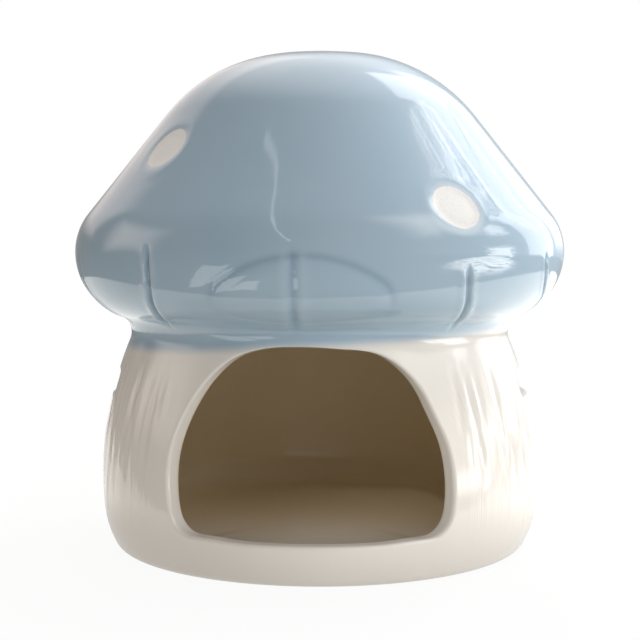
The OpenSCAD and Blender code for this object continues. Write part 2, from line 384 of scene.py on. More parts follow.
def in_hole(corners):
    """True if a face with these corner points lies in one of the openings."""
    r, c = row[corners], column[corners]
    for (c0, c1), (r0, r1) in holes:
        away = (c - c0) % COLUMNS
        if r.min() >= r0 and r.max() <= r1 and away.max() <= c1 - c0:
            return True
    return False


def pick(faces=None, edges_=None):
    """Go to edit mode with just these faces or edges selected, given as a list of True and False."""
    kind = "FACE" if faces is not None else "EDGE"
    bpy.ops.object.mode_set(mode="EDIT")
    bpy.ops.mesh.select_mode(type=kind)
    bpy.ops.mesh.select_all(action="DESELECT")
    bpy.ops.object.mode_set(mode="OBJECT")
    items = half.polygons if kind == "FACE" else half.edges
    items.foreach_set("select", np.array(faces if kind == "FACE" else edges_, bool))
    bpy.ops.object.mode_set(mode="EDIT")


cut_out = [in_hole(np.array(poly.vertices[:])) for poly in half.polygons]
pick(faces=cut_out)
bpy.ops.mesh.delete(type="FACE")
for middle in (0.0, 90.0, -90.0):
    bpy.ops.object.mode_set(mode="OBJECT")
    uses = np.zeros(len(half.edges), int)
    loop_edges = np.empty(len(half.loops), int)
    half.loops.foreach_get("edge_index", loop_edges)
    np.add.at(uses, loop_edges, 1)
    ends = np.empty(len(half.edges) * 2, int)
    half.edges.foreach_get("vertices", ends)
    off = np.abs((azimuth(read_points(half)) - middle + 180) % 360 - 180)[ends].reshape(-1, 2).max(1)
    pick(edges_=(uses == 1) & (off < 40))
    bpy.ops.mesh.bridge_edge_loops(number_cuts=2, interpolation="LINEAR")
bpy.ops.mesh.select_all(action="SELECT")
bpy.ops.mesh.normals_make_consistent(inside=False)
bpy.ops.object.mode_set(mode="OBJECT")
print(sum(cut_out), "faces taken out; the cage now has", len(half.polygons), "faces")

# %% [markdown]
# ## Smoothing the cage
#
# Subdivision Surface rounds the cage into a skin and gives every cut edge its soft lip.
# The outside, which carries the relief, is divided once more than the inside: the inside is
# plain, and points spent there show nowhere.

# %% Divide the cage once, and its outside once more
def triangles():
    """Number of triangles that the faces of the shell come to."""
    return sum(len(poly.vertices) - 2 for poly in half.polygons)


smooth = shell.modifiers.new("smooth", "SUBSURF")
smooth.levels = smooth.render_levels = 1
bpy.ops.object.modifier_apply(modifier="smooth")
place = read_points(half)
off_inside = np.abs(skin_in.measure(place)[2])
underneath = (place[:, 2] < 1.2 * MM) & (np.hypot(place[:, 0], place[:, 1]) < 46 * MM)
corners = [list(poly.vertices) for poly in half.polygons]
pick(faces=[off_inside[c].max() > 0.6 and not underneath[c].all() for c in corners])
bpy.ops.mesh.subdivide(number_cuts=1, smoothness=1.0)
bpy.ops.object.mode_set(mode="OBJECT")
print("skin:", len(half.vertices), "points,", triangles(), "triangles")

# %% [markdown]
# ## Sculpting the relief
#
# The mould carries shallow relief: grooves pressed into the rim, an oval above the door,
# round spots, and bark strokes drawn into the stem with a rounded stick. Each is less than
# a millimetre deep, and the glaze softens it further. On a skin whose points
# know their angle and height it is enough to push each point in or out along the normal of
# the half section, as a sculpting brush would.

# %% A soft step for edges that fade
def ramp(x, start, end):
    """Smooth step from 0 at start to 1 at end."""
    t = np.clip((x - start) / (end - start), 0, 1)
    return t * t * (3 - 2 * t)


# %% How far each point is from a rim groove, in millimetres along the skin
# The grooves in front: millimetres to the right of the middle, and how far the foot bends in
upright_x = {0: (-36.2, 4.6), 1: (-3.2, 0.0), 2: (35.2, 4.8), 3: (54.8, 13.0)}
BEND_FROM, BEND_TALL = 64, 9.5


def round_and_up(places):
    """Angle round the axis in degrees, distance from the axis and height, both in millimetres."""
    return azimuth(places), np.hypot(places[:, 0], places[:, 1]) / MM, places[:, 2] / MM


def groove_gap(places):
    """Signed way to the nearest groove in millimetres, and which groove that is.

    The four in front stand upright and bend inwards at the foot; the others follow their column.
    """
    turn_, r, z = round_and_up(places)
    gaps = []
    for i, turn in enumerate(groove_at):
        middle_turn = turn
        if i in upright_x:
            x, bend = upright_x[i]
            x = x - math.copysign(bend, x) * np.clip((BEND_FROM - z) / BEND_TALL, 0, 1.3) ** 2
            middle_turn = np.degrees(np.arcsin(np.clip(x / np.maximum(r, 1), -1, 1)))
        gaps.append(np.radians((turn_ - middle_turn + 180) % 360 - 180) * r)
    gaps = np.array(gaps)
    which = np.abs(gaps).argmin(0)
    return np.take_along_axis(gaps, which[None], 0)[0], which


# %% The oval above the door, and how far each point is from its edge
OVAL_SHIFT = -1.7


def oval_outline():
    """Right half of the edge of the oval as (across, height), closely spaced."""
    half_width, top, low, end_r = 19.4, 72.9, 56.4, 5.0
    x, z = half_width - end_r, 63.4
    up, down = top - z - end_r, z - low - end_r
    r_up, r_down = (x * x + up * up) / (2 * up), (x * x + down * down) / (2 * down)
    c_up, c_down = (0, top - end_r - r_up), (0, low + end_r + r_down)
    a_up, a_down = angle_from(c_up, (x, z)), angle_from(c_down, (x, z))
    line = arc(c_down, r_down + end_r, -90, a_down, 60) + arc((x, z), end_r, a_down, a_up, 40)
    return np.array(line + arc(c_up, r_up + end_r, a_up, 90, 60) + [(0.0, top)])


oval = oval_outline()


def oval_gap(places):
    """Way to the edge of the oval, negative inside it; 99 far from it."""
    turn_, r, z = round_and_up(places)
    gap_ = np.full(len(places), 99.0)
    near_ = np.flatnonzero((np.abs(turn_) < 34) & (z > 50) & (z < 80) & (r > 46))
    flat = np.stack([np.abs(r[near_] * np.sin(np.radians(turn_[near_])) - OVAL_SHIFT), z[near_]], 1)
    away = np.sqrt(((flat[:, None] - oval[None]) ** 2).sum(2))
    closest = away.argmin(1)
    tangent = np.gradient(oval, axis=0)[closest]
    across = flat - oval[closest]
    outside_ = across[:, 0] * tangent[:, 1] - across[:, 1] * tangent[:, 0] > 0
    gap_[near_] = np.where(outside_, 1, -1) * away.min(1)
    return gap_


print("oval", round(2 * oval[:, 0].max(), 1), "mm wide")

# %% Divide once more along the grooves and the oval's edge, and again along the grooves in front
GROOVES_FROM, GROOVES_TO, OVAL_FROM = 54.5, 76.5, 58
for reach, reach_oval, round_to in ((2.1, 1.5, 180), (1.25, 0.0, 70)):
    place = read_points(half)
    turned, _, height = round_and_up(place)
    wanted = (np.abs(groove_gap(place)[0]) < reach) & (np.abs(turned) < round_to)
    wanted &= (height > GROOVES_FROM) & (height < GROOVES_TO)
    wanted |= (np.abs(oval_gap(place) - 0.5) < reach_oval) & (height > OVAL_FROM)
    wanted &= np.abs(skin_out.measure(place)[2]) < 0.8
    pick(faces=[wanted[list(poly.vertices)].all() for poly in half.polygons])
    bpy.ops.mesh.subdivide(number_cuts=1, smoothness=0.0)
    bpy.ops.object.mode_set(mode="OBJECT")
    print("skin:", len(half.vertices), "points,", triangles(), "triangles")

# %% Lay the outside on the exact section
place = read_points(half)
angle, along, off = skin_out.measure(place)
outer = np.abs(off) < 1.2
on_skin = outer * (1 - ramp(np.abs(off), 0.12, 0.7))
height = place[:, 2] / MM
radius = np.hypot(place[:, 0], place[:, 1]) / MM
print("points on the outer skin:", int((on_skin > 0.5).sum()))

# %% Rim grooves, deepest under the rim, with soft shoulders
GROOVE_DEEP, SHOULDER_TALL, POOL_DEEP = 0.7, 0.32, 0.7
side, which_groove = groove_gap(place)
groove_top = np.array([74.0, 74.0, 69.5, 72.0] + [74.0] * 7)[which_groove]
strength = np.array([1.0, 0.4, 0.8, 0.8] + [0.85] * 7)[which_groove]
strength *= ramp(height, 54.8, 59.0) * (1 - ramp(height - groove_top, -2.5, 2.5))
# The one on the oval is shallower and broader than the others
wide = np.where(which_groove == 1, 1.6, 1.0)
shoulders = SHOULDER_TALL * bell(np.abs(side) - 1.4 * wide, 0.7 * wide)
groove_cut = strength * (shoulders - GROOVE_DEEP * bell(side, 0.6 * wide))
groove_pool = POOL_DEEP * strength * bell(side, 0.42 * wide)
print("deepest groove", round(float(-groove_cut.min()), 2), "mm")

# %% Raised oval above the door, creased along its top
OVAL_TALL = 0.28
edge_gap = oval_gap(place)
upper = ramp(height, 60, 69)
crease = (0.03 + 0.2 * upper) * bell(edge_gap - 0.6, 0.85)
oval_cut = OVAL_TALL * ramp(-edge_gap, -0.6, 3.2) - crease
oval_pool = (0.03 + 0.36 * upper) * bell(edge_gap - 0.5, 0.95)
print("oval rises", round(float(oval_cut.max()), 2), "mm")

# %% Spots, each a shallow bare hollow inside a soft ring of glaze
SPOT_R = 6.0
HOLLOW, RING = 0.45, 0.1
spots = [(-47.6, 98.7), (34.0, 84.5), (134.0, 98.7), (214.0, 84.5)]
flank_x, flank_z = at_angle(RIM_UP, R_RIM_UP, FLANK)
spot_cut, spot_places = np.zeros(len(place)), []
for turn, z in spots:
    r = flank_x - (z - flank_z) * math.tan(math.radians(FLANK))
    spot_places.append((r * math.sin(math.radians(turn)), -r * math.cos(math.radians(turn)), z))
    far = np.linalg.norm(place / MM - np.array(spot_places[-1]), axis=1)
    spot_cut += -HOLLOW * (1 - ramp(far, SPOT_R - 1.2, SPOT_R + 0.9)) + RING * bell(far - SPOT_R - 2.0, 1.2)
print(len(spots), "spots, each", 2 * SPOT_R, "mm across")

# %% Bark strokes: angle and height of their upper and lower ends, and how deep they are
STEM_R = 55
strokes = [(40, 48.0, 39.5, 34, 0.4), (43.5, 46.5, 46, 22, 0.6), (47, 47, 47.5, 31, 0.4),
           (54.5, 46, 55.5, 25, 0.6), (52.2, 37, 52.5, 21, 0.45), (65, 45, 65, 24, 0.6),
           (64, 26, 68.5, 9, 0.4), (58.5, 30, 60, 15, 0.3), (70.5, 36, 71.5, 14, 0.35)]
# The left side mirrors the right with small slips; the sides and the back are drawn by chance
chance = np.random.default_rng(7)
strokes += [(-a0 - chance.uniform(-1.2, 1.2), z0, -a1 - chance.uniform(-1.2, 1.2), z1, 0.7 * depth)
            for a0, z0, a1, z1, depth in strokes]
turn = 76.0
while turn < 284:
    tall = chance.uniform(14, 27)
    top = chance.uniform(33, 48)
    under_window = abs(turn - 90) < 21 or abs(turn - 270) < 21
    if under_window:
        top = chance.uniform(24, 35)
    lean = chance.uniform(-1.6, 2.4)
    strokes.append((turn, top, turn + lean, max(top - tall, 7), chance.uniform(0.3, 0.62)))
    turn += chance.uniform(3.6, 6.4)
bark_cut = np.zeros(len(place))
on_stem = np.flatnonzero(outer & (height > 4) & (height < 51) & (np.abs(angle) > 36.5))
for a0, z0, a1, z1, depth in strokes:
    t = np.clip((z0 - height[on_stem]) / (z0 - z1), 0, 1)
    aside = (angle[on_stem] - (a0 + (a1 - a0) * t) + 180) % 360 - 180
    aside = np.radians(aside) * STEM_R
    beyond = height[on_stem] - np.clip(height[on_stem], z1, z0)
    ends = bell(beyond, 1.4) * (0.35 + 0.65 * ramp(t, 0, 0.3)) * (1 - 0.55 * ramp(t, 0.6, 1.0))
    bark_cut[on_stem] -= 1.05 * depth * ends * (bell(aside, 0.8) - 0.3 * bell(np.abs(aside) - 1.7, 0.7))
bark_cut = np.clip(bark_cut, -0.75, 0.2) * ramp(np.abs(angle), 36.5, 39)
print(len(strokes), "bark strokes")

# %% Slight waviness of a hand-finished casting, and the finished skin
# The skin lies this far under the plain solid's, so that no wave or ring stands proud of it
SET_BACK = 0.23


def wave(*terms):
    """Sum of slow waves; each term is turns round the axis, millimetres of height, phase and size."""
    total = np.zeros(len(place))
    for turns_, tall_, phase, size in terms:
        total += size * np.sin(np.radians(angle) * turns_ + height / tall_ * 2 * math.pi + phase)
    return total


hand = wave((2, 160, 0.4, 0.10), (3, 90, 2.1, 0.07), (5, 70, 4.0, 0.04), (7, 45, 1.0, 0.02))
hand *= ramp(radius, 0, 18)
relief = groove_cut + oval_cut + spot_cut + bark_cut
lift = on_skin * (relief + (hand - SET_BACK) * ramp(height, 4, 14))
finished = skin_out.lay(angle, along, lift + off * (1 - on_skin))
new_place = np.where(outer[:, None], finished, place)
new_place[:, 2] = np.maximum(new_place[:, 2], 0.0)
half.vertices.foreach_set("co", new_place.ravel())
half.update()
print("relief from", round(float(lift.min()), 2), "to", round(float(lift.max()), 2), "mm")

# %% [markdown]
# ## What the glaze needs to know
#
# Glaze runs off edges and pools in hollows, so it is paler on a ridge and darker in a
# groove. Each point stores how deep or thin the glaze lies there, whether it is on the bark,
# on the bare foot or indoors, as attributes that the material reads. The paler share also
# carries painted light: highlights on the shoulders of the grooves and a sheen along the throat.

# %% Store what the glaze needs on the points
def store(name, values):
    """Keep one number per point as an attribute of the mesh."""
    attribute = half.attributes.new(name, "FLOAT", "POINT")
    attribute.data.foreach_set("value", values.astype(np.float32))


pool = np.clip(groove_pool + oval_pool, 0, 1) * on_skin
store("pool", pool)
beside_door = ramp(np.abs(angle), 37, 41)
store("bark", on_skin * beside_door * ramp(height, 6, 16) * (1 - ramp(height, 42, 49)))
# Paler blue where the glaze thins over raised relief; on the shoulders of the grooves it is partly a
# painted highlight
thin_glaze_and_highlight = np.clip(np.maximum(lift * 2.2, groove_cut * 3.2), 0, 1)
# A painted sheen along the left of the throat: partly thin glaze, and partly painted light that lifts the
# shade of the crease
painted_throat_sheen = ramp(-angle, 24, 30) * (1 - ramp(-angle, 56, 75)) * bell(height - 55.2, 1.8)
store("thin_glaze_and_highlight", np.maximum(thin_glaze_and_highlight, painted_throat_sheen) * on_skin)
store("bare", np.where(outer & (height < 1.6) & (radius < 49.6), 1.0, 1 - ramp(height, 0.15, 0.5)))
store("indoors", 1 - ramp(np.abs(skin_in.measure(read_points(half))[2]), 0.2, 1.6))
for poly in half.polygons:
    poly.use_smooth = True
print("glaze pools on", int((pool > 0.5).sum()), "points")

# %% Name the piece and put it in place of the plain solid
shell.name = "glazed_shell"
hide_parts("hideout")
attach(shell, "root")
print("shell:", triangles(), "triangles")

# %% [markdown]
# ## The finish: two dipped glazes over pale clay
#
# The stem and the inside carry a warm white gloss glaze, the cap a greyish sky-blue one
# that was dipped over it, so the line between them is soft and slightly tilted. The spots
# and the foot were wiped bare before the firing and stay matt. One material holds them all,
# because on the real piece they fade into each other on one skin.

# %% Helpers: colours from hex, and one function that adds a node
def linear(code):
    """A hex colour as it is written in a paint chart, as the linear colour a shader wants."""
    parts = [int(code[i : i + 2], 16) / 255 for i in (1, 3, 5)]
    return tuple(p / 12.92 if p <= 0.04045 else ((p + 0.055) / 1.055) ** 2.4 for p in parts) + (1.0,)


def add(tree, kind, feeds=None, **settings):
    """Add a node with its settings; feeds gives a value or a link for each of its inputs."""
    new = tree.nodes.new(kind)
    for key, value in settings.items():
        setattr(new, key, value)
    for key, value in (feeds or {}).items():
        if isinstance(value, bpy.types.NodeSocket):
            tree.links.new(value, new.inputs[key])
        else:
            new.inputs[key].default_value = value
    return new


def fresh(material):
    """An empty node tree for a material, a world or a lamp."""
    material.use_nodes = True
    material.node_tree.nodes.clear()
    return material.node_tree


print("linear white is", linear("#ffffff")[:3])


# %% Short names for the nodes that come again and again
def calc(tree, operation, *values):
    """Result of a sum, product or the like."""
    return add(tree, "ShaderNodeMath", dict(enumerate(values)), operation=operation).outputs[0]


def vector(tree, operation, *values):
    """Results of a vector sum or the like: the vector is output 0, a length or product "Value"."""
    return add(tree, "ShaderNodeVectorMath", dict(enumerate(values)), operation=operation).outputs


def step(tree, value, start, end, low=0.0, high=1.0, kind="SMOOTHSTEP"):
    """Goes from low to high while value goes from start to end; kind LINEAR makes it straight."""
    feeds = {"Value": value, "From Min": start, "From Max": end, "To Min": low, "To Max": high}
    return add(tree, "ShaderNodeMapRange", feeds, interpolation_type=kind).outputs[0]


def mix(tree, share, one, two):
    """Colour between one and two; a colour is a hex code or a link."""
    one, two = (linear(c) if isinstance(c, str) else c for c in (one, two))
    return add(tree, "ShaderNodeMix", {0: share, 6: one, 7: two}, data_type="RGBA").outputs[2]


def noise(tree, at, scale, detail, roughness=0.5):
    """Cloudy noise around 0.5; scale is the number of clouds in a metre."""
    feeds = {"Vector": at, "Scale": scale, "Detail": detail, "Roughness": roughness}
    return add(tree, "ShaderNodeTexNoise", feeds).outputs["Fac"]


def bump(tree, height_, strength_, distance, under=None):
    """Normal that follows a height; under is the normal of a coarser bump below it."""
    feeds = {"Height": height_, "Strength": strength_, "Distance": distance}
    if under is not None:
        feeds["Normal"] = under
    return add(tree, "ShaderNodeBump", feeds).outputs["Normal"]


# %% Glazed stoneware: where the blue and the white glaze lie, and the painted shade inside
glaze = bpy.data.materials.new("glazed_stoneware")
t = fresh(glaze)
where = add(t, "ShaderNodeTexCoord").outputs["Object"]
axes = add(t, "ShaderNodeSeparateXYZ", {0: where}).outputs
pooled, pale_glaze_and_highlight, indoors, bare_foot, barked = [
    add(t, "ShaderNodeAttribute", attribute_name=name).outputs["Fac"]
    for name in ("pool", "thin_glaze_and_highlight", "indoors", "bare", "bark")
]
DIP_FROM, DIP_TO, DIP_TILT, DIP_CREEP = 0.0522, 0.0551, -0.052, 0.0016
# The dipping line is tilted by 3 degrees, and the glaze creeps up and down by half a millimetre
creep = noise(t, where, 45.0, 2.0)
tilted = calc(t, "MULTIPLY_ADD", axes["X"], DIP_TILT, axes["Z"])
dipped = step(t, calc(t, "MULTIPLY_ADD", creep, DIP_CREEP, tilted), DIP_FROM, DIP_TO)
blue_here = calc(t, "MULTIPLY", dipped, calc(t, "SUBTRACT", 1.0, indoors))
# The inside is the white glaze too, painted a honey tone for the warm shade of the cabin; it stays white on
# the floor near the sill, where light comes in through the door
lit_near_sill = step(t, axes["Y"], -0.046, 0.01, 0.95, 0.0)
lit_near_sill = calc(t, "MULTIPLY", lit_near_sill, step(t, axes["Z"], 0.0075, 0.02, 1.0, 0.0))
painted_inside_shade = calc(t, "MULTIPLY", indoors, calc(t, "SUBTRACT", 1.0, lit_near_sill))
print("the blue glaze starts", DIP_FROM / MM, "to", DIP_TO / MM, "mm above the table")

# %% Glazed stoneware: colours of the glazes
# Cloudy depth of the glaze, in patches of about 25 mm, as it runs while it melts
cloud = noise(t, where, 38.0, 3.0)
# Blue: deeper where it pools in grooves, paler where it thins on ridges, with painted highlights on the
# groove shoulders and a painted sheen along the shaded throat
blue = mix(t, cloud, "#a2bacb", "#afc4d2")
blue = mix(t, calc(t, "MULTIPLY", pooled, 0.75), blue, "#5c7a96")
blue = mix(t, calc(t, "MULTIPLY", pale_glaze_and_highlight, 0.6), blue, "#c3d3dc")
# Warm white outside; inside, the honey tone is painted shade
white = mix(t, painted_inside_shade, mix(t, cloud, "#ede6dc", "#f3ede4"), mix(t, cloud, "#ecdab8", "#f0dfbf"))
colour = mix(t, blue_here, white, blue)
print("glaze colours:", len(t.nodes), "nodes so far")

# %% Bare clay of the spots and the foot, with a slightly ragged hand-wiped edge
nearest_spot = None
for spot_place in spot_places:
    gap = vector(t, "DISTANCE", where, tuple(v * MM for v in spot_place))["Value"]
    nearest_spot = gap if nearest_spot is None else calc(t, "MINIMUM", nearest_spot, gap)
rag = calc(t, "MULTIPLY_ADD", noise(t, where, 400.0, 2.0), 0.0006, nearest_spot)
wiped = step(t, rag, 0.0060, 0.0064, 1.0, 0.0)
# The blue thins to a pale ring just outside each spot
colour = mix(t, step(t, rag, 0.0061, 0.0078, 0.35, 0.0), colour, "#dfe6e8")
grit = noise(t, where, 1800.0, 3.0)
bare = calc(t, "MAXIMUM", wiped, bare_foot)
colour = mix(t, bare, colour, mix(t, grit, "#f0ede8", "#f8f6f2"))
print("bare clay:", len(spot_places), "spots and the foot ring")

# %% Gloss and fine relief, and the finished material
GLOSS_WHITE, GLOSS_BLUE, MATT_CLAY = 0.13, 0.07, 0.85
# The white glaze is a little more satin than the blue
satin = step(t, axes["Z"], 0.052, 0.057, GLOSS_WHITE, GLOSS_BLUE, "LINEAR")
gloss = add(t, "ShaderNodeMix", {0: bare, 2: satin, 3: MATT_CLAY}).outputs[0]
# Orange peel of fired glaze, about 3 mm from wave to wave and a hundredth of a millimetre deep
peeled = bump(t, noise(t, where, 300.0, 1.0), 0.25, 0.00006)
# Fine bark: upright streaks 1 to 2 mm apart, drawn round the stem but not round the door
backward = calc(t, "MULTIPLY", axes["Y"], -1.0)
round_way = calc(t, "MULTIPLY", calc(t, "ARCTAN2", axes["X"], backward), STEM_R * MM)
up_way = calc(t, "MULTIPLY", axes["Z"], 0.045)
streak_at = add(t, "ShaderNodeCombineXYZ", {0: round_way, 2: up_way}).outputs[0]
streaked = calc(t, "MULTIPLY", noise(t, streak_at, 420.0, 3.0, 0.6), barked)
drawn = bump(t, streaked, 0.5, 0.0005, peeled)
normal = bump(t, calc(t, "MULTIPLY", grit, bare), 0.6, 0.0001, drawn)
feeds = {"Base Color": colour, "Roughness": gloss, "IOR": 1.56, "Normal": normal}
surface = add(t, "ShaderNodeBsdfPrincipled", feeds)
add(t, "ShaderNodeOutputMaterial", {"Surface": surface.outputs[0]})
half.materials.clear()
half.materials.append(glaze)
print("glaze:", len(t.nodes), "nodes")

# %% [markdown]
# ## The camera
#
# The photograph was taken with a short telephoto lens from about 34 cm, level with the rim
# of the cap and a little to the right of the door. The lens is shifted down instead of
# tilted, which keeps the walls upright.

# %% Place the camera
FRAME_PX, HORIZON_PX = 640, 240.7
LENS_MM, SENSOR_MM = 74.98, 36.0
CAMERA_TURN, CAMERA_AWAY, CAMERA_HEIGHT = 2.65, 0.345, 0.07659
swing = math.radians(CAMERA_TURN)
eye = np.array([CAMERA_AWAY * math.sin(swing), -CAMERA_AWAY * math.cos(swing), CAMERA_HEIGHT])
camera_data = bpy.data.cameras.new("camera")
camera_data.lens, camera_data.sensor_width = LENS_MM, SENSOR_MM
camera_data.shift_y = -(FRAME_PX / 2 - HORIZON_PX) / FRAME_PX
camera_data.clip_start = 0.01
camera = bpy.data.objects.new("camera", camera_data)
camera.location = eye
camera.rotation_euler = (math.pi / 2, 0, swing)
bpy.context.scene.collection.objects.link(camera)
bpy.context.scene.camera = camera
bpy.context.scene.view_settings.view_transform = "Standard"
print("camera at", [round(v, 4) for v in camera.location])

# %% [markdown]
# ## The studio
#
# Glaze shows its surroundings, so the light is part of the finish. Three tall windows to the
# right and behind throw the broad white reflection down the side of the cap, and light that
# comes through leaves breaks up into blotches beside them. Pale walls on the left give the
# softer band there, and the room in front stays dim, which keeps the blue of the cap deep.
# The piece stands on a white board, and the rim of the cap mirrors the board's front edge.

# %% The board and the table around it, as the glaze mirrors them
bpy.ops.object.select_all(action="DESELECT")
bpy.ops.mesh.primitive_circle_add(vertices=128, radius=1.5, fill_type="NGON", location=(0, 0, 0))
floor = bpy.context.active_object
floor.name = "studio_floor"
paper = bpy.data.materials.new("white_board")
t = fresh(paper)
where = add(t, "ShaderNodeTexCoord").outputs["Object"]
BOARD_MIDDLE, BOARD_HALF = (0.015, 0.305, 0.0), (0.29, 0.39, 1.0)
SUN_MIDDLE, SUN_HALF = (0.62, -0.09, 0.0), (0.46, 0.16, 1.0)


def oval_way(middle_, half_size):
    """How far out a place lies in an oval on the table: 0 in its middle, 1 on its edge."""
    away = vector(t, "SUBTRACT", where, middle_)[0]
    return vector(t, "LENGTH", vector(t, "DIVIDE", away, half_size)[0])["Value"]


# The board is an oval sheet that starts 85 mm in front of the middle; the table beyond is darker
board_way = oval_way(BOARD_MIDDLE, BOARD_HALF)
on_board = step(t, board_way, 0.985, 1.0, 1.7, 0.3)
# Sun through leaves falls on the table to the right, in a patch of blotches
sun_gaps = step(t, noise(t, where, 26.0, 3.0, 0.65), 0.4, 0.52, 0.0, 6.5)
sunny = step(t, oval_way(SUN_MIDDLE, SUN_HALF), 0.75, 1.05, 1.0, 0.0)
mirrored_light = calc(t, "MULTIPLY_ADD", sunny, sun_gaps, on_board)
print("board from", round(BOARD_MIDDLE[1] - BOARD_HALF[1], 3), "to", BOARD_MIDDLE[1] + BOARD_HALF[1], "m")

# %% The light that the table throws up, and how the camera sees it
path = add(t, "ShaderNodeLightPath").outputs
soft_table = step(t, board_way, 0.985, 1.0, 1.22, 0.72, "LINEAR")
bounced = add(t, "ShaderNodeMix", {0: path["Is Glossy Ray"], 2: soft_table, 3: mirrored_light}).outputs[0]
# The table is brighter to the right, and the piece shades it close to its foot
from_axis = vector(t, "LENGTH", where)["Value"]
side_way = add(t, "ShaderNodeSeparateXYZ", {0: where}).outputs["X"]
rightward = step(t, side_way, -0.13, 0.13, 0.69, 1.32, "LINEAR")
shaded = step(t, from_axis, 0.055, 0.11, 0.46, 1.0)
bounced = calc(t, "MULTIPLY", bounced, calc(t, "MULTIPLY", rightward, shaded))
# The camera sees pure white, with a faint shadow close to the foot
plain = add(t, "ShaderNodeBsdfDiffuse", {"Color": linear("#f1efec")}).outputs[0]
glow = add(t, "ShaderNodeEmission", {"Color": linear("#ffffff"), "Strength": 1.0}).outputs[0]
glowing = step(t, from_axis, 0.06, 0.22, 0.93, 1.0, "LINEAR")
white_seen = add(t, "ShaderNodeMixShader", {0: glowing, 1: plain, 2: glow}).outputs[0]
lit_table = add(t, "ShaderNodeEmission", {"Color": linear("#fffdf9"), "Strength": bounced}).outputs[0]
both = add(t, "ShaderNodeMixShader", {0: path["Is Camera Ray"], 1: lit_table, 2: white_seen}).outputs[0]
add(t, "ShaderNodeOutputMaterial", {"Surface": both})
floor.data.materials.append(paper)
print("board and table:", len(t.nodes), "nodes")

# %% The room as a world: dim on the left, bright on the right, where the windows are
world = bpy.data.worlds.new("studio_room")
bpy.context.scene.world = world
t = fresh(world)
direction = add(t, "ShaderNodeTexCoord").outputs["Generated"]
toward = add(t, "ShaderNodeSeparateXYZ", {0: direction}).outputs
room = step(t, toward["X"], -0.6, 1.0, 0.16, 0.95, "LINEAR")
room = calc(t, "MULTIPLY_ADD", toward["Y"], 0.06, room)
# A bright ceiling, high up and a little behind
ceiling = vector(t, "DOT_PRODUCT", direction, (0.08, 0.48, 0.87))["Value"]
room = calc(t, "ADD", room, step(t, ceiling, 0.76, 0.97, 0.0, 1.5))
# The camera sees a plain white backdrop; the rest is warm on the left and cool on the right
seen = add(t, "ShaderNodeLightPath").outputs["Is Camera Ray"]
room_strength = add(t, "ShaderNodeMix", {0: seen, 2: room, 3: 1.0}).outputs[0]
tint = mix(t, step(t, toward["X"], -0.6, 0.6, kind="LINEAR"), "#fff5ec", "#f8fbff")
feeds = {"Color": mix(t, seen, tint, "#ffffff"), "Strength": room_strength}
back = add(t, "ShaderNodeBackground", feeds).outputs[0]
add(t, "ShaderNodeOutputWorld", {"Surface": back})
print("room:", len(t.nodes), "nodes")


# %% Soft boxes, some of them broken up as by leaves
LOOK_AT_Z = 0.07


def soft_light(lamp, soft, leafy, dense):
    """Let a lamp fade out at its edges, and break it into blotches if leafy is above 0."""
    tree = fresh(lamp)
    spread = add(tree, "ShaderNodeNewGeometry").outputs["Parametric"]
    off = vector(tree, "ABSOLUTE", vector(tree, "SUBTRACT", spread, (0.5, 0.5, 0))[0])[0]
    off = add(tree, "ShaderNodeSeparateXYZ", {0: off}).outputs
    light = step(tree, calc(tree, "MAXIMUM", off["X"], off["Y"]), 0.5 - soft, 0.501, 1.0, 0.0)
    if leafy:
        faded = calc(tree, "MULTIPLY", light, 0.3)
        leaves = calc(tree, "MULTIPLY_ADD", noise(tree, spread, leafy, 4.0, 0.75), 0.7, faded)
        light = step(tree, leaves, 0.7 * dense + 0.22, 0.7 * dense + 0.34)
    glow_ = add(tree, "ShaderNodeEmission", {"Color": linear("#ffffff"), "Strength": light})
    add(tree, "ShaderNodeOutputLight", {"Surface": glow_.outputs[0]})


def softbox(name, turn, rise, away, wide, tall, radiance, tint="#ffffff", soft=0.0, leafy=0.0, dense=0.5):
    """A rectangle of light, wide by tall metres, that faces the piece from some way off.

    turn is the angle from the camera's side and rise the angle above the table. soft is the
    share of the width over which it fades out at each edge. leafy is the number of blotches
    across it, and a high dense lets little light through them.
    """
    lamp = bpy.data.lights.new(name, "AREA")
    lamp.shape, lamp.size, lamp.size_y = "RECTANGLE", wide, tall
    lamp.energy = radiance * math.pi * wide * tall
    lamp.color = linear(tint)[:3]
    soft_light(lamp, soft, leafy, dense)
    box = bpy.data.objects.new(name, lamp)
    a, e = math.radians(turn + CAMERA_TURN), math.radians(rise)
    back_to = np.array([math.sin(a) * math.cos(e), -math.cos(a) * math.cos(e), math.sin(e)])
    box.location = back_to * away + np.array([0, 0, LOOK_AT_Z])
    box.rotation_euler = (math.pi / 2 - e, 0, a)
    bpy.context.scene.collection.objects.link(box)
    return box


print("soft boxes look at a point", LOOK_AT_Z, "m above the table")

# %% Windows, leaves and curtain folds to the right
softbox("window", 120, 17, 0.9, 0.45, 0.66, 2.45, "#fdfcff", soft=0.04)
softbox("window_beyond", 145, 24, 0.9, 0.36, 0.9, 1.9, "#fdfcff", soft=0.2)
softbox("window_top", 134, 49, 0.88, 0.36, 0.42, 2.6, "#fdfcff", soft=0.08)
softbox("leaves_low", 87, 1, 0.9, 0.52, 0.34, 6.5, soft=0.45, leafy=12.0, dense=0.4)
softbox("leaves_by_spot", 91, 24, 0.9, 0.5, 0.44, 6.0, soft=0.45, leafy=18.0, dense=0.5)
softbox("leaves_high", 111, 46, 0.86, 0.4, 0.36, 3.0, soft=0.45, leafy=12.0, dense=0.48)
for i in range(8):
    fold_wide, fold_tall = 0.006 + 0.004 * (i % 3), 0.4 + 0.02 * i
    softbox(f"curtain_fold_{i}", 100 + 3.0 * i, 44 - 1.6 * i, 0.84, fold_wide, fold_tall, 4.0)
print("lamps on the window side:", len(bpy.data.lights))

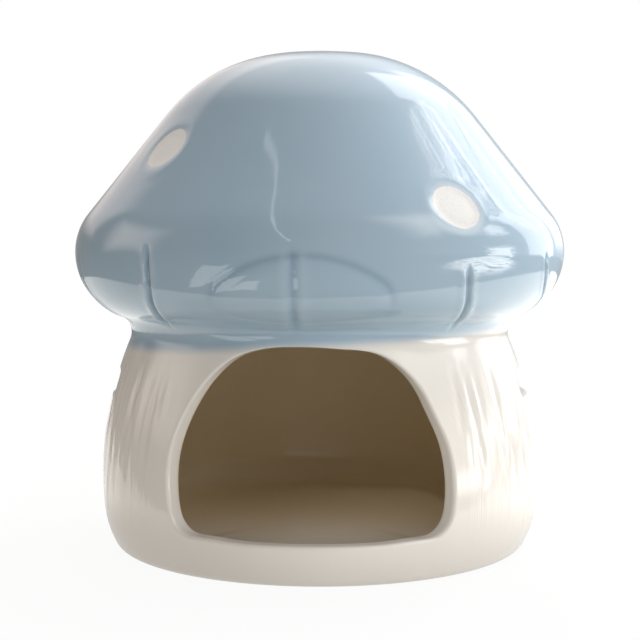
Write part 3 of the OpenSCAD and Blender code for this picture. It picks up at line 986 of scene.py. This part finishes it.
# %% The room: a wall that is only mirrored, pale walls on the left, and a fill that isn't mirrored
softbox("room_side", 65, 41, 0.9, 0.95, 0.85, 4.0, "#fff6ec", soft=0.5).visible_diffuse = False
softbox("left_wall", -94, 15, 0.9, 0.8, 0.6, 1.8, "#fff4ec", soft=0.4)
softbox("pale_wall", -150, 28, 0.9, 0.84, 0.72, 0.8, "#ffeee8", soft=0.2)
softbox("room_fill", 25, 30, 0.9, 0.5, 0.4, 1.4).visible_glossy = False
# A small lamp with a long tube looks down through the door, to show the floor of the cabin
SNOOT_AT, SNOOT_WIDE = (-0.08, -0.835, 0.485), 3.8
snoot = bpy.data.lights.new("snoot", "SPOT")
snoot.energy, snoot.shadow_soft_size = 10.0, 0.02
snoot.spot_size, snoot.spot_blend = math.radians(SNOOT_WIDE), 1.0
snoot_at = bpy.data.objects.new("snoot", snoot)
snoot_at.location = SNOOT_AT
snoot_at.rotation_euler = (math.radians(60), 0, math.atan2(-0.09, 0.78))
snoot_at.visible_glossy = False
bpy.context.scene.collection.objects.link(snoot_at)
print("lamps:", len(bpy.data.lights))

# %% [markdown]
# ## Finding what a highlight mirrors
#
# A sharp highlight on glaze is the picture of something in the room. To place that thing, the
# camera's ray through the highlight is followed to the skin and thrown back there as by a
# mirror: what shines has to lie on that line. Two sheets of sunlight on the table and the
# bright edge of a ceiling are found like this.


# %% Follow a camera ray to the skin and away from it
def mirrored(across_px, down_px):
    """Where the ray through a pixel of the picture meets the outer skin, and its way from there."""
    px = FRAME_PX * LENS_MM / SENSOR_MM
    x, z = (across_px - FRAME_PX / 2) / px, (HORIZON_PX - down_px) / px
    ray = np.array([x * math.cos(swing) - math.sin(swing), x * math.sin(swing) + math.cos(swing), z])
    ray /= np.linalg.norm(ray)
    ways = np.arange(0.27, 0.34, 0.0002)
    turns_, along_, off_ = skin_out.measure(eye + ways[:, None] * ray)
    i = int(np.argmax(off_ < 0))
    part = off_[i - 1] / (off_[i - 1] - off_[i])
    way, turn_, s = (v[i - 1] + part * (v[i] - v[i - 1]) for v in (ways, turns_, along_))
    flat, up = (float(np.interp(s, skin_out.s, skin_out.out[:, k])) for k in (0, 1))
    normal_ = np.array([flat * math.sin(math.radians(turn_)), -flat * math.cos(math.radians(turn_)), up])
    return eye + way * ray, ray - 2 * (ray @ normal_) * normal_


def card(name, corners_, faces_, radiance):
    """Flat shapes that shine into the glaze but are hidden from the camera; corners in metres."""
    mesh = bpy.data.meshes.new(name)
    mesh.from_pydata([tuple(corner) for corner in corners_], [], faces_)
    sheet = bpy.data.objects.new(name, mesh)
    bpy.context.scene.collection.objects.link(sheet)
    shine = bpy.data.materials.new(name)
    tree = fresh(shine)
    light = add(tree, "ShaderNodeEmission", {"Strength": radiance}).outputs[0]
    add(tree, "ShaderNodeOutputMaterial", {"Surface": light})
    mesh.materials.append(shine)
    sheet.visible_camera = sheet.visible_diffuse = sheet.visible_shadow = False


print("the middle of the picture meets the skin at", [round(v, 3) for v in mirrored(320, 200)[0]])

# %% Two sheets of sunlight on the table
SHEET_Z = 0.001
sun_px = {
    "sun_on_table": [(188.2, 287.9), (203.8, 264.8), (237.9, 267.7), (228.2, 278.3), (218.5, 285.9)],
    "sun_on_table_2": [(237.5, 276.9), (260.8, 279.5), (256.8, 289.5), (218.5, 287.0)],
}
for name, corners_px in sun_px.items():
    lying = [hit + (hit[2] - SHEET_Z) / -way[2] * way for hit, way in (mirrored(*px) for px in corners_px)]
    card(name, lying, [tuple(range(len(lying)))], 2.1)
    print(name, "reaches from y", [round(float(f(p[1] for p in lying)), 3) for f in (min, max)])

# %% The bright edge of the ceiling, a ribbon that is wider where it comes down at the side
EDGE_AWAY = 0.7
edge_px = [
    (264.9, 135.8), (271.0, 146.6), (275.6, 157.4), (276.9, 167.0), (276.6, 177.3), (275.1, 187.6),
    (273.6, 197.6), (272.6, 211.2), (273.5, 220.8), (276.5, 229.3), (283.1, 235.7), (291.1, 241.4),
]
edge_line = [hit + EDGE_AWAY * way for hit, way in (mirrored(*px) for px in edge_px)]
ribbon = []
for i, point in enumerate(edge_line):
    ahead = edge_line[min(i + 1, len(edge_line) - 1)] - edge_line[max(i - 1, 0)]
    across = np.cross(ahead, point - np.array([0, 0, 0.08]))
    across *= (0.003 if i < 8 else 0.006) / np.linalg.norm(across)
    ribbon += [point - across, point + across]
strips = [(i, i + 1, i + 3, i + 2) for i in range(0, len(ribbon) - 2, 2)]
card("ceiling_edge", ribbon, strips, 3.6)
print("ceiling edge:", len(edge_line), "points, the first", [round(v, 3) for v in edge_line[0]])

# %% Update the scene
bpy.context.view_layer.update()
